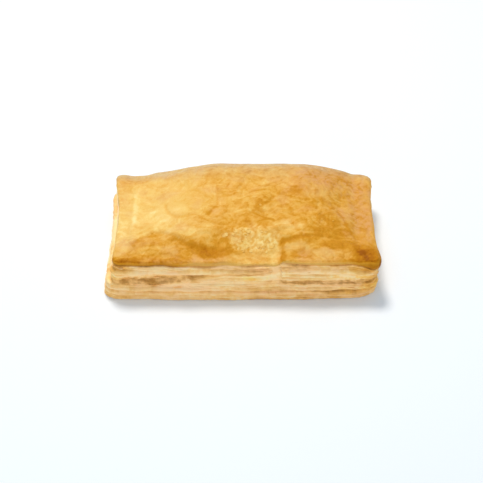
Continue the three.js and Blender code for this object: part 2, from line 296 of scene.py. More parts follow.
def tear_drop(x, y):
    """How far the skin has dropped: all of it just left of the tear, nothing right of it."""
    right_of_tear = smoothstep(x, TEAR["x"] - TEAR["step"] / 2, TEAR["x"] + TEAR["step"] / 2)
    dropped = smoothstep(x, *TEAR["fade_left"]) * (1 - right_of_tear)
    return TEAR["drop"] * dropped * (1 - smoothstep(y, *TEAR["fade_back"]))


def before_fold(x, y):
    """1 in front of the fold's arched line, 0 behind it and beyond its ends."""
    fold = FRONT_FOLD
    half = np.where(x < fold["crest"], fold["left"], fold["right"])
    line = fold["y"] + fold["rise"] * bell(x - fold["crest"], half)
    return (1 - smoothstep(y, line, line + fold["width"])) * stretch(x, *fold["stretch"])


def oval(x, y, centre_x, centre_y, radius_x, radius_y, power, ragged=1):
    """1 in the middle of an oval, 0 beyond it. The higher the power, the sharper its edge."""
    away = np.hypot((x - centre_x) / radius_x, (y - centre_y) / radius_y) * ragged
    return np.exp(-(away ** power))


def skin_relief(x, y):
    height = -FRONT_FOLD["drop"] * before_fold(x, y)
    for *place, rise in BLISTERS.values():
        height += rise * oval(x, y, *place, BLISTER_EDGE)
    swelling = 1 - (1 - FLAT_BACK["left"]) * smoothstep(y, FLAT_BACK["from"], FLAT_BACK["to"])
    for length, turn, phase, rise in SWELLS:
        along = x * math.cos(2 * math.pi * turn) + y * math.sin(2 * math.pi * turn)
        height += swelling * rise * np.sin(2 * math.pi * along / length + phase)
    fold = bell(x - LEFT_FOLD["x"], LEFT_FOLD["width"]) * stretch(y, *LEFT_FOLD["stretch"])
    height += LEFT_FOLD["height"] * fold
    return height - RIGHT_PRESS["depth"] * bell(x - RIGHT_PRESS["x"], RIGHT_PRESS["width"])


# --- Fine form and browning of the skin
warp_noise, lump_noise, layer_noise, crumb_noise, mottle_noise, tint_noise = map(Noise, range(11, 17))
EDGE_ROLL = {"radius": 2.6, "depth": 0.7}
SMOOTH_RIM = (-1, 4)
CRUMB_PATCH = {"x": 6.5, "y": -24, "radius_x": 15, "radius_y": 8, "fade": (0.6, 1.1), "edge": 0.6}
# How noise moves places about, so that forms aren't regular: reach, size. y takes its noise from further on.
WARP_SHIFT = 60
WARPS = {"patches": (2.2, 7), "crackle": (2.6, 8), "creases": (0.9, 2.8), "layers": (3, 9), "fold": (0.7, 6)}
# The big and the small cells of the crackle: length, depth, width of the creases, rise over them, step from
# cell to cell, weight of the cell's level, weight of the creases.
CRACKLE = (
    (Cells(21), 5.2, 3.9, 0.3, 0.2, 0.16, 0.6, 0.6),
    (Cells(22), 2.3, 1.7, 0.35, 0.07, 0.07, 0.5, 0.4),
)
LAYERS = {"edge": (0.45, 0.55), "height": 0.3, "contrast": 2, "most": 0.5}
# Where the skin is smoother: x, y, radius along x, radius along y, share.
CALM_PLACES = {
    "left": (-48, 4, 24, 26, 0.62), "flat blister": (-28, 3, 14, 11, 0.5), "right rim": (66, 0, 7, 40, 0.35),
}
CALM_LIMIT = 0.85
FLAT_LUMPS = 0.7
# Layers of noise over the skin: noise, size along x and y, shift along x and y, strength.
GRAINS = {
    "lumps": ((lump_noise, 8.5, 7, 0, 0, 0.32),),
    "layers": ((layer_noise, 17, 11, 0, 0, 2.4), (layer_noise, 5, 5, 40, 0, 0.5)),
    "edge of the crumbs": ((crumb_noise, 5, 3.5, 0, 0, 0.35),),
    "crumbs": ((crumb_noise, 1.7, 1.4, 0, 0, 0.24), (crumb_noise, 0.9, 0.9, 30, 0, 0.14)),
    "tops of the crumbs": ((crumb_noise, 1.7, 1.4, 0, 0, 1),),
    "mottling": ((mottle_noise, 6.5, 4.6, 0, 0, 0.1),),
    "mottling of the fold": ((mottle_noise, 6, 5, 20, 0, 0.4),),
    "crisp spots": ((mottle_noise, 3.2, 2.4, 50, 0, 0.6), (mottle_noise, 1.5, 1.2, 0, 70, 0.5)),
    "dull spots": ((tint_noise, 9, 7, 0, 0, 1),),
    "dull streaks": ((tint_noise, 3.4, 15, 0, 30, 1),),
}

# Creases and edges drawn over the skin: from x, y to x, y, bow to the left, width, height, browning.
STROKE_ENDS = (0.12, 0.88, 0.2)
STROKES = {
    # A painted shadow along the flat blister's front edge, over a shallow crease.
    "crease and painted shadow before the flat blister": (-40, 4, -21.4, -7.8, -6.6, 1.2, -0.4, 0.16),
    "beside the flat blister": (-17.3, -10.3, -13.2, -2.4, 0.4, 0.9, -0.3, 0.24),
    "behind the flat blister": (-12.9, 11, -12.7, -4.7, 0.5, 0.8, -0.25, 0.12),
    "upper left of the hollow": (-37, -20, -16, -32, 0.8, 2.2, 0, 0.24),
    "darkest part of the hollow": (-28, -28, -12, -32, 0.4, 2.8, -0.2, 0.28),
    "bottom of the hollow": (-22, -31.5, -4, -30.5, -0.6, 2.2, -0.2, 0.28),
    "middle crease": (5.4, -6.3, 17.7, -14.2, 0.8, 1.1, -0.4, 0.2),
    "crease from the round blister": (10.6, -2.1, 17.5, 6, -1.5, 0.9, -0.3, 0.12),
    "short crease": (24.9, -13.5, 29.9, -20, 0.6, 1, -0.4, 0.2),
    "crease behind the tear": (19.6, -27, 35, -22.4, 0.8, 1.2, -0.5, 0.38),
    "upper edge of the hollow": (42.5, -27.4, 53.7, -28, 3.6, 1.1, -0.3, 0.12),
    "lower edge of the hollow": (42.5, -27.4, 53.7, -28, -1.6, 1.1, -0.3, 0.16),
    "right spot": (51.5, 11.2, 58.8, 12.6, 0.5, 1.4, -0.2, 0.22),
    "right crease": (50.4, -0.5, 54.3, -6.4, -0.8, 1.2, -0.3, 0.2),
    "right fold": (41, -8, 52, -10.5, -1.5, 1, -0.3, 0.14),
    "ear crease": (59, -29, 64.5, -36.5, 1, 1.3, -0.4, 0.16),
}


def grain(name, x, y):
    return sum(strength * noise(x / size_x + shift_x, y / size_y + shift_y)
               for noise, size_x, size_y, shift_x, shift_y, strength in GRAINS[name])


def stroke_shape(x, y, from_x, from_y, to_x, to_y, bow, width):
    """1 along a bowed stroke, 0 away from it and beyond its ends."""
    length = math.hypot(to_x - from_x, to_y - from_y)
    way_x, way_y = (to_x - from_x) / length, (to_y - from_y) / length
    along = (x - from_x) * way_x + (y - from_y) * way_y
    across = (y - from_y) * way_x - (x - from_x) * way_y
    share = along / length
    return bell(across - 4 * bow * share * (1 - share), width) * stretch(share, *STROKE_ENDS)


def crumb_patch(x, y):
    """1 on the torn, crumbly patch just left of the tear, 0 away from it."""
    patch = CRUMB_PATCH
    away = np.hypot((x - patch["x"]) / patch["radius_x"], (y - patch["y"]) / patch["radius_y"])
    away = away + grain("edge of the crumbs", x, y)
    return (1 - smoothstep(away, *patch["fade"])) * (1 - smoothstep(x, TEAR["x"] - patch["edge"], TEAR["x"]))


def warped(x, y, name):
    reach, size = WARPS[name]
    p, q = x / size, y / size
    return x + reach * warp_noise(p, q), y + reach * warp_noise(p + WARP_SHIFT, q + WARP_SHIFT)


def crackle(x, y):
    """The skin's small blisters with creases between them: their relief, their creases, their own level."""
    p, q = warped(*warped(x, y, "crackle"), "creases")
    relief, creases, levels = 0, 0, 0
    for cells, length, depth, crease_width, rise, step, level_weight, crease_weight in CRACKLE:
        border, level = cells(p / length, q / depth)
        crease = 1 - smoothstep(border, 0, crease_width)
        relief = relief + rise * (1 - crease) + step * level
        creases = creases + crease_weight * crease
        levels = levels + level_weight * level
    return relief, creases, levels


def layer_edges(x, y):
    """Edges where thin layers have split off the skin: soft steps along winding lines, about -0.5 to 0.5."""
    field = grain("layers", *warped(x, y, "layers"))
    step = field - np.floor(field)
    return np.floor(field) + smoothstep(step, *LAYERS["edge"]) - field


def calm(x, y):
    """How little the skin is crackled, from 0 (all) to 1 (none)."""
    smoothness = sum(share * oval(x, y, *place, BLISTER_EDGE) for *place, share in CALM_PLACES.values())
    return np.clip(smoothness, 0, CALM_LIMIT)


def rim_distance(u, v):
    """Roughly how far a place of the lid is from its outline."""
    across = np.minimum((1 + u) * LID["left"], (1 - u) * LID["right"])
    along = np.minimum((1 + v) * LID["front"], (1 - v) * LID["back"])
    return np.minimum(across, along)


def fine_relief(x, y, inwards):
    """Lumps, crackle and layer edges, drawn strokes, and the crumbs of the torn patch."""
    relief, _, _ = crackle(x, y)
    rough = crumb_patch(x, y)
    crackled = (1 - calm(x, y)) * (1 - rough) * smoothstep(inwards, *SMOOTH_RIM)
    lumps = grain("lumps", x, y) * (1 - FLAT_LUMPS * smoothstep(y, FLAT_BACK["from"], FLAT_BACK["to"]))
    height = lumps + crackled * (relief + LAYERS["height"] * layer_edges(x, y))
    for *place, rise, _ in STROKES.values():
        height += rise * stroke_shape(x, y, *place)
    return height + rough * grain("crumbs", x, y)


def smooth_top(u, v):
    """The top without its fine relief and its rolled edge."""
    x, y = plan_points(LID, u, v)
    return x, y, rim_height(u, v) + dome_height(x, y) + skin_relief(x, y) - tear_drop(x, y)


def top_points(u, v):
    x, y, height = smooth_top(u, v)
    inwards = rim_distance(u, v)
    edge = np.clip(inwards / EDGE_ROLL["radius"], 0, 1)
    roll = EDGE_ROLL["depth"] * (1 - np.sqrt(1 - (1 - edge) ** 2))
    return np.stack([x, y, height + fine_relief(x, y, inwards) - roll], axis=-1)


# Places where the skin is browner or paler than its general browning, or more or less dulled to a pinkish
# tan: x, y, radius along x, radius along y, browning, dulling.
PATCH_EDGE = 3
PATCHES = {
    "pale back left": (-46, 8, 20, 16, -0.06, 0),
    # Partly the shoulder's own paler skin, partly a painted highlight where it faces the light.
    "paler shoulder with painted highlight": (-43, -6, 14, 7, -0.15, 0),
    "pale edge behind the fold": (-40, -13.5, 12, 2.6, -0.08, 0),
    "pale behind the hollow": (-24, -19.5, 7, 3.5, -0.08, 0),
    "behind the fold's crest": (-36, -20, 7, 4, -0.2, 0.2),
    "golden middle": (-2, -15, 20, 6, 0.15, 0),
    # A painted highlight: a narrow paler line along the left fold's ridge.
    "painted highlight on the left fold's ridge": (-55.8, 4, 2.2, 19, -0.22, -0.3),
    "left rim": (-62.5, 16, 4, 16, 0.06, 0.3),
    "pale left rim": (-63, -11, 4.5, 13, -0.12, 0),
    "back left corner": (-58, 30, 12, 6, 0.16, 0.2),
    "back left band": (-24, 30, 22, 6, 0.06, 0.1),
    "large flat blister": (-29, 3, 12, 8, -0.02, 0),
    "front left hollow": (-14, -30.5, 10, 3, 0.16, 0),
    "pink left of the fold": (-59, -24, 5, 6, -0.05, 0.9),
    "pink back left": (-42, 30, 7, 4, -0.1, 0.8),
    "front left lip": (-45, -36, 24, 3, 0.05, 0.4),
    "front left corner": (-61, -35.5, 8, 3.6, 0.32, -0.2),
    "tan front left": (-36, -30, 5, 3.5, -0.14, 0.5),
    "round brown blister": (11, 5, 7.5, 7, 0.08, 0),
    "dark spot of the blister": (9.5, -1, 2.2, 3, 0.22, 0),
    "brown by the blister": (26, 8, 7, 4, 0.12, 0),
    "pale by the tear": (28, -28.3, 8, 2.2, -0.14, 0.2),
    "brown by the tear": (27.5, -33, 8, 3.2, 0.17, 0),
    "right half": (45, -4, 24, 22, 0.05, 0),
    "front right hollow": (49.5, -26, 8.5, 2.8, 0.34, -0.4),
    "tan skin right of the middle": (25, -17.2, 6.5, 4.6, -0.26, 0.2),
    "brown skin behind the tear": (26, -22.6, 5, 2.6, 0.1, 0),
    "right end of the hollow": (52, -28.5, 4, 3.5, 0.1, -0.1),
    "tan skin behind the plateau": (39, 7, 8, 4, -0.08, 0.2),
    "front right brown": (41, -18, 15, 6, 0.1, -0.3),
    "front right roll": (42.5, -31.5, 13, 2.6, -0.1, 0.4),
    "golden strip": (42, -35.5, 17, 2, -0.02, 0.4),
    "right ear": (63, -32, 8, 6, 0.24, -0.5),
    "right ear spot": (61.8, -32, 3.4, 4.2, 0.42, -0.5),
    "edge of the right ear": (67.5, -33.5, 4.5, 4.5, 0.34, 0),
    "right rim": (64.5, 3, 6, 27, 0.06, 0.95),
    "right flecks": (53, -2, 4, 7, -0.04, 0.5),
    "back right": (46, 25, 15, 9, 0.08, 0.8),
    "tan back right": (36, 16, 16, 8, 0, 0.6),
    "soft band": (0, -34.5, 20, 2.8, -0.04, 0.2),
    "pinkish lip": (-18, -36, 11, 2.6, -0.14, 0.6),
    "pale crumbs": (11, -26, 6, 4, -0.06, 0.1),
    "brown beside the crumbs": (-8, -25, 7, 3, 0.2, 0),
    "dropped edge": (17, -30, 3.4, 7, -0.2, 0),
}
GENERAL_BROWNING = ((-60, 0.33), (-35, 0.36), (-12, 0.46), (15, 0.49), (50, 0.56), (68, 0.57))
# What the skin's base, its crackle and its layers add. Calm skin loses the share 'calm' of all but the base.
CRACKLE_TONE = {"base": 0.02, "crackled": -0.04, "creases": 0.09, "levels": 0.09, "layers": 0.11, "calm": 0.8}
# Crisp spots: the two values of their noise between which they set in, and their browning.
CRISP_SPOTS = {"brown": (-0.1, 0.12, 0.06), "pale": (0.3, 0.45, -0.08)}
CRUMB_TONE = {"gaps": -0.02, "tops": -0.28, "between": (-0.3, 0.25)}
TEAR_SHADE = {"edge": 0.4, "full": 0.8, "width": 3.5, "stretch": (-36, -25, 2), "browning": 0.3}
EDGE_BROWNING = {"width": 3, "browning": -0.02}
FOLD_TONE = {"browning": 0.3, "share": 0.8}
# A painted sheen: a pale band along the back edge for its grazing reflection, reaching less far at the ends.
PAINTED_BACK_SHEEN = {"middle": 22, "ends": 9, "from_ends": (0.1, 0.7), "fade": (0.1, 1)}
DULL_SPOTS = {"between": (0.1, 0.6), "dulling": 0.4}
RIGHT_STREAKS = {"x": (46, 58), "y": (-28, -18), "between": (-0.1, 0.4), "dulling": 0.5}
# The dulling fades out between these two values of browning.
DULL_UNTIL = (0.62, 0.85)
# Browner than 'level' the skin gets only by a part of what is over it, and by more at the ear.
SKIN_CAP = {"level": 0.76, "elsewhere": 0.16, "at_ear": 0.32, "ear_from": 54}


def add_patches(patches, x, y, brown, dull, share=1, ragged=1):
    """The browning and the dulling with those of the patches added, by a share."""
    for *place, browning, dulling in patches.values():
        near = share * oval(x, y, *place, PATCH_EDGE, ragged)
        brown, dull = brown + browning * near, dull + dulling * near
    return brown, dull


def capped(brown, level, beyond):
    """The browning with only a share of what is over the level."""
    return np.minimum(brown, level + beyond * np.clip(brown - level, 0, 1))


def pattern_browning(x, y, p, q):
    """What the mottling at the warped place p, q and the crackle, layers and crisp spots at x, y add."""
    tone = CRACKLE_TONE
    _, creases, levels = crackle(x, y)
    crackled = 1 - tone["calm"] * calm(x, y)
    brown = tone["base"] + grain("mottling", p, q)
    brown += crackled * (tone["creases"] * creases + tone["crackled"] + tone["levels"] * levels)
    layers = np.clip(layer_edges(x, y) * LAYERS["contrast"], -LAYERS["most"], LAYERS["most"])
    brown += tone["layers"] * crackled * layers
    crisp = grain("crisp spots", x, y)
    return brown + crackled * sum(browning * smoothstep(crisp, low, high)
                                  for low, high, browning in CRISP_SPOTS.values())


def tear_shade(x, y):
    """1 in the shade just right of the tear, 0 away from it."""
    shade = TEAR_SHADE
    along_x = smoothstep(x, TEAR["x"] - shade["edge"], TEAR["x"] + shade["edge"])
    along_x = along_x * (1 - smoothstep(x, TEAR["x"] + shade["full"], TEAR["x"] + shade["width"]))
    return along_x * stretch(y, *shade["stretch"])


# The painted sheen: 1 at the skin's back edge, fading out inwards.
def painted_back_sheen(u, v):
    inwards = smoothstep(1 - np.abs(u), *PAINTED_BACK_SHEEN["from_ends"])
    reach = lerp(PAINTED_BACK_SHEEN["ends"], PAINTED_BACK_SHEEN["middle"], inwards)
    return 1 - smoothstep((1 - v) * LID["back"] / reach, *PAINTED_BACK_SHEEN["fade"])


def skin_values(u, v, x, y):
    """How brown the skin is, from 0 (cream) to 1 (dark brown), how far it is dulled, and its painted sheen.
    """
    p, q = warped(x, y, "patches")
    brown = profile(GENERAL_BROWNING, x)
    dull = DULL_SPOTS["dulling"] * smoothstep(grain("dull spots", x, y), *DULL_SPOTS["between"])
    brown, dull = add_patches(PATCHES, p, q, brown, dull)
    brown += pattern_browning(x, y, p, q) + TEAR_SHADE["browning"] * tear_shade(x, y)
    for *place, _, browning in STROKES.values():
        brown += browning * stroke_shape(x, y, *place)
    in_fold = before_fold(*warped(x, y, "fold")) * (FOLD_TONE["share"] + grain("mottling of the fold", x, y))
    brown += FOLD_TONE["browning"] * in_fold
    brown += EDGE_BROWNING["browning"] * (1 - smoothstep(rim_distance(u, v), 0, EDGE_BROWNING["width"]))
    streaks = smoothstep(grain("dull streaks", x, y), *RIGHT_STREAKS["between"])
    streaks = streaks * smoothstep(x, *RIGHT_STREAKS["x"]) * smoothstep(y, *RIGHT_STREAKS["y"])
    dull += RIGHT_STREAKS["dulling"] * streaks
    tops = smoothstep(grain("tops of the crumbs", x, y), *CRUMB_TONE["between"])
    brown += crumb_patch(x, y) * (CRUMB_TONE["gaps"] + CRUMB_TONE["tops"] * tops)
    dull = dull * (1 - smoothstep(brown, *DULL_UNTIL))
    beyond = np.where(x > SKIN_CAP["ear_from"], SKIN_CAP["at_ear"], SKIN_CAP["elsewhere"])
    return capped(brown, SKIN_CAP["level"], beyond), np.clip(dull, 0, 1), painted_back_sheen(u, v)


# --- Sides
leaf_noises = [Noise(seed) for seed in range(40, 46)]
side_cells = Cells(23)
# The waves in which the leaves wander, the same as the solid's: strength, waves in a turn, shift from leaf to
# leaf, start.
WANDER = ((0.45, 7, 2.4, 0), (0.35, 13, 4.1, 1), (0.2, 29, 1.7, 2))
# Layers of noise round the side: which, size in millimetres, strength, first row.
RIPPLES = {
    "splits": ((0, 15, 0.3, 0), (1, 4, 0.12, 0)),
    "depth of the splits": ((2, 12, 1, 0),),
    "foot": ((1, 5, 0.009, 0),),
    "groove": ((2, 9, 0.7, 0),),
    "nose": ((3, 8, 0.36, 0), (4, 2.4, 0.2, 0)),
    "droop": ((5, 9, 1, 0),),
    "tone": ((0, 26, 1, 30), (1, 6, 0.5, 30)),
    "strands": ((4, 4, 1, 90), (5, 1.6, 0.5, 91)),
    "hidden seam": ((2, 30, 0.6, 55),),
    "hidden toasting": ((3, 40, 1, 77),),
}
# Layers of noise over the side's face: which, width, height, strength.
FACE_GRAINS = {
    "browning": ((1, 7, 2.6, 0.13), (3, 2.4, 1.3, 0.08)),
    "dulling": ((0, 18, 4, 0.5),),
    "ragged edges": ((2, 5, 1.5, 0.3),),
    "specks": ((4, 4.2, 2, 1), (5, 1.9, 1, 0.7)),
    "crumbs": ((4, 1.9, 1.3, 0.16),),
    "toasted crumbs": ((5, 2.4, 1.5, 0.4),),
}
# Where the ripples and the grains start in the noise, and how far apart the rows of ripples are.
RIPPLE_START, GRAIN_START, ROW_STEP = 0.5, 9, 1.37
# How soon the rolled edge and the drop at the tear fade out downwards, as powers of the share of the height.
ROLL_FADE, DROP_FADE = 60, 4
# How far to the front the outward direction points where the side begins to face it, and where it does.
FRONT_FACING = (0.1, 0.6)


def wander(turn, leaf):
    """The slow wandering of a leaf's foot round the side."""
    return sum(strength * np.sin(waves * turn + shift * leaf + start)
               for strength, waves, shift, start in WANDER)


class Sides:
    """The stations round the side and everything that is worked out for each of them."""

    def __init__(self, u, v):
        self.lid = top_points(u, v)
        front, right, back = v <= -1, u >= 1, v >= 1
        on_front, on_back = (np.stack(outline_point(BASE, u, side), axis=-1) for side in (-1, 1))
        on_left, on_right = (np.stack(outline_point(BASE, v, side, False), axis=-1) for side in (-1, 1))
        places = [place[:, None] for place in (front, back, right)]
        self.base = np.select(places, [on_front, on_back, on_right], on_left)
        along = np.roll(self.base, -1, axis=0) - np.roll(self.base, 1, axis=0)
        along /= np.linalg.norm(along, axis=1)[:, None]
        self.out = np.stack([along[:, 1], -along[:, 0]], axis=-1)
        steps = np.linalg.norm(self.base - np.roll(self.base, 1, axis=0), axis=1)
        self.way = np.cumsum(np.r_[0, steps[1:]])
        self.length = self.way[-1]
        self.turn = 2 * np.pi * self.way / self.length
        self.front = front.astype(float)
        self.x = self.lid[:, 0]
        self.drop = tear_drop(self.x, self.lid[:, 1])
        self.near_ear = bell(np.hypot(self.x - EAR["x"], self.lid[:, 1] - EAR["y"]), EAR["radius"])
        self.facing_left = np.maximum(0, -self.out[:, 0]) ** 2
        self.facing_front = smoothstep(-self.out[:, 1], *FRONT_FACING)

    def noise(self, which, size, y):
        """Noise round the side with features of a size in millimetres. It closes after a whole turn."""
        cells = max(3, round(self.length / size))
        return leaf_noises[which](self.way / self.length * cells, y, cells)

    def ripple(self, name, row=0):
        """Noise round the side, different for each row number."""
        rows = np.zeros_like(self.way)
        return sum(strength * self.noise(which, size, rows + ((first + row) * ROW_STEP + RIPPLE_START))
                   for which, size, strength, first in RIPPLES[name])

    def grain(self, name, share):
        """Noise over the side's face, at a share of its height."""
        return sum(strength * self.noise(which, size, self.lid[:, 2] * share / height + GRAIN_START)
                   for which, size, height, strength in FACE_GRAINS[name])

    def foot_share(self, leaf, index):
        share = leaf.foot + leaf.wandering * wander(self.turn, index)
        drawn_up = np.where(self.x < TEAR["x"], leaf.tear_left, leaf.tear_right)
        reach = np.where(self.x < TEAR["x"], TEAR_REACH["left"], TEAR_REACH["right"])
        share += self.front * drawn_up * np.exp(-np.abs(self.x - TEAR["x"]) / reach)
        if leaf.name == "skin":
            share -= self.front * LIP_SAG["share"] * bell(self.x - LIP_SAG["x"], LIP_SAG["width"])
        return share - EAR["shares"].get(leaf.name, 0) * self.near_ear

    def sheet_reach(self, leaf):
        return self.facing_left * (LEDGE["out"] if leaf.name in LOWER_SHEET else -LEDGE["in"])

    def nose_reach(self, leaf, index):
        reach = leaf.nose + NOSE_WAVE * wander(self.turn, index + len(LEAVES))
        if leaf.name == "skin":
            reach += EAR["reach"] * self.near_ear - self.front * stretch(self.x, *LIP_THIN) * leaf.nose
        if leaf.name in TOASTED["leaves"]:
            reach -= self.front * stretch(self.x, *TOASTED["stretch"]) * TOASTED["recess"]
        return reach

    def points(self, share, reach, sink):
        """Points at a share of the side's height, standing out by 'reach' and hanging lower by 'sink'."""
        flat = lerp(self.base, self.lid[:, :2], share[:, None]) + self.out * reach[:, None]
        full = self.lid[:, 2] + EDGE_ROLL["depth"]
        rolled = self.drop * share ** DROP_FADE + EDGE_ROLL["depth"] * share ** ROLL_FADE
        return np.column_stack([flat, (full + self.drop) * share - rolled - sink])


# The depth of the grooves that split a leaf, and of those at a leaf's foot as shares of its groove.
SPLITS = {"least": 0.02, "more": 0.36, "between": (0.05, 0.5)}
GROOVES = {"share": 0.8, "between": (0.1, 1.3)}


def thin_leaves(sides):
    """The thin leaves from the top down: foot, depth of the groove there, leaf, index, if it is the last."""
    thin = []
    head = np.ones_like(sides.way)
    for index, leaf in enumerate(LEAVES):
        foot = sides.foot_share(leaf, index)
        count = leaf.parts
        for part in range(1, count + 1):
            row = len(thin)
            if part < count:
                share = lerp(head, foot, (part + sides.ripple("splits", row)) / count)
                more = smoothstep(sides.ripple("depth of the splits", row), *SPLITS["between"])
                depth = SPLITS["least"] + SPLITS["more"] * more
            else:
                share = foot + (sides.ripple("foot", row) if foot.max() > 0 else 0)
                groove = GROOVES["share"] + sides.ripple("groove", row)
                depth = leaf.groove * np.clip(groove, *GROOVES["between"])
            thin.append((share, depth, leaf, index, part == count))
        head = foot
    return thin


# The skin just left of the tear is draped over the leaves.
DRAPE = {
    "x": 17.8, "width": 2.6, "reach": 0.7, "share": (0.66, 0.78),
    "browning": 0.24, "dulling": 0.8, "cover": 0.8,
}
# How far the lip and the leaves hang down at their noses.
DROOP = {"lip": 0.1, "leaves": 0.3}
# How far the seam between the two sheets is open along the front: x, share. Elsewhere it is 'hidden'.
SEAM_OPEN = (
    (-70, 0.2), (-60, 0.4), (-54, 0.35), (-34, 0.2), (-12, 0.1), (12, 0.1), (19, 0.2), (40, 0.22), (71, 0.35),
)
# Strands close it here and there. Where it is closed, its dough stands out by 'flush', and the grooves beside
# it keep a share of their depth.
SEAM = {"hidden": 0.7, "strands": (0.3, 0.6), "closed_by": 0.7, "flush": 0.3, "least_groove": 0.2}

# Places of the front's face that are browner or paler: x, share of the height, radius along x, radius as a
# share of the height, browning, dulling. Where the dulling is less than 0 in all, the leaves are golden.
SIDE_PATCHES = {
    "left corner curl": (-62, 0.8, 7, 0.16, 0.26, -0.9),
    "left corner, lower sheet": (-64, 0.42, 6, 0.1, 0.06, 0),
    "dark spot at the left": (-58.8, 0.47, 2, 0.07, 0.42, -0.2),
    "pale upper sheet, left": (-40, 0.82, 19, 0.12, -0.14, 0.1),
    "toasted line, left": (-51, 0.53, 5.5, 0.045, 0.36, 0),
    "toasted block": (-43, 0.45, 3.4, 0.15, 0.3, -0.4),
    "reddish patch": (-38.5, 0.52, 4.5, 0.11, 0.26, 0.3),
    "toasted spots": (-30, 0.57, 7, 0.07, 0.2, 0),
    "cream by the toasted leaves": (-17, 0.48, 6, 0.1, -0.14, 0.5),
    "beside the yellow leaf": (-15, 0.6, 6, 0.06, 0, -0.3),
    "soft seam, middle": (-6, 0.43, 9, 0.06, -0.16, 0.1),
    "beige under the line": (-51, 0.4, 5, 0.08, 0.08, 0.6),
    "cream lower sheet": (-26, 0.36, 16, 0.09, -0.3, 1),
    "grey leaf by the tear": (0, 0.85, 17, 0.07, 0.16, 0.5),
    "line under the lip, middle": (-30, 0.92, 7, 0.02, 0.2, 0.2),
    "tan leaf by the tear": (10, 0.77, 11, 0.06, 0.26, 0.2),
    "line under the grey leaf": (2, 0.67, 10, 0.028, 0.5, 0.1),
    "yellow leaf": (8, 0.6, 10, 0.08, -0.06, -0.7),
    "pale leaf, right": (36, 0.64, 28, 0.06, -0.16, 0),
    # Painted shadow on the leaves just right of the tear.
    "painted shadow wedge by the tear": (30, 0.82, 8, 0.1, 0.26, 0.4),
    "line under the wedge": (34, 0.76, 12, 0.018, 0.2, 0.1),
    "cream under the seam": (32, 0.36, 15, 0.06, -0.16, 0.4),
    "dark seam, middle right": (40, 0.42, 6, 0.04, 0.2, 0),
    "upper sheet, left": (-34, 0.69, 9, 0.06, 0, 0.4),
    "brown upper sheet": (-5, 0.7, 7, 0.05, 0.16, 0),
    "pale upper sheet, right": (36, 0.72, 8, 0.07, -0.26, 0),
    "brown fleck": (-21, 0.62, 3.5, 0.05, 0.34, 0),
    "foot of the toasted block": (-37.5, 0.44, 4.5, 0.05, 0.3, 0),
    "pale by the block": (-29, 0.37, 6, 0.05, -0.26, 0.2),
    "left end, lower sheet": (-68, 0.35, 4, 0.2, -0.14, -0.3),
    "left end, over the seam": (-66, 0.62, 4, 0.14, -0.12, -0.3),
    "golden base, left": (-14, 0.12, 22, 0.07, -0.06, -0.25),
    # The open seam at the right: partly toasted, partly painted shade of its gap.
    "seam band, toasted and painted shade": (46, 0.44, 26, 0.06, 0.2, 0.4),
    "leaf over the seam's end": (62, 0.6, 6, 0.06, -0.2, -0.4),
    "right corner, lower sheet": (68.5, 0.38, 6, 0.2, 0.16, -1.1),
    "under the ear": (69.5, 0.83, 4.5, 0.08, 0.5, -1),
    "golden leaves, right": (61, 0.83, 9, 0.15, 0.12, -0.9),
    "orange leaves, right": (68.5, 0.75, 6, 0.12, 0.2, -0.6),
    "shadow under the lip": (29, 0.885, 6.5, 0.03, 0.36, 0.1),
    "under the lip, right": (50, 0.905, 9, 0.03, 0.32, -0.8),
    "line over the base, right": (38, 0.225, 17, 0.035, 0.32, 0.1),
    "dots over the base": (19, 0.27, 8, 0.05, 0.44, 0),
    "golden base, right": (54, 0.18, 14, 0.09, 0.26, -0.6),
    "foot line of the base": (28, 0.02, 30, 0.04, 0.24, -0.4),
    "line over the base, middle": (6, 0.23, 8, 0.02, 0.2, 0),
    "orange line, left": (-52, 0.16, 12, 0.04, 0.16, 0),
    "golden base": (12, 0.15, 44, 0.12, 0.03, 0.3),
}
# The left side is paler between two y, and the base sheet browner under a share of the height.
LEFT_FACE = {"browning": -0.28, "stretch": (-24, 10, 6)}
BASE_SHEET = {"top": (0.22, 0.25), "browning": 0.05}
# The zones of toasted crumbs on the front: between two x with a soft edge, between two shares of the height.
# On the other sides such crumbs lie at the first zone's height, where their ripple is over HIDDEN_TOASTING.
TOASTED_ZONES = ((-57, -40, 5, 0.37, 0.58), (-35, -26, 6, 0.48, 0.6), (22, 70, 4, 0.42, 0.48))
HIDDEN_TOASTING = (0.1, 0.5)
SPECKS = {"edge": 0.05, "between": (-0.05, 0.3), "browning": 0.18, "recess": 0.2}
# Chips are small uneven cells of the face, and pieces are longer ones along a thin leaf.
CHIP = {"length": 4.2, "height": 2.4, "depth": 0.2}
PIECE = {"length": 6.5, "row_step": 2.37, "depth": 0.14, "tone": 0.9}
# 'seam' browns the open seam between the two sheets: painted shade of that gap.
LEAF_BROWNING = {
    "all": 0.18, "tone": 0.08, "seam": 0.2, "toasted": 0.1, "chips": 0.05, "toasted_chips": 0.12,
}
LEAF_DULLING = {"all": 0.25, "chips": -0.3}
GROOVE_SHADE = {"browning": 0.26, "power": 1.5, "full_depth": 0.6, "most": 1.5}
# Browner than 'level' the leaves get only by a part of what is over it.
SIDE_CAP = {"level": 0.66, "beyond": 0.25}
# The power of a thin leaf's outline from groove to nose to groove, and the rows in which it leads over from
# the sheet above.
NOSE_POWER = 2.6
SHEET_STEP = (0, 0.3)


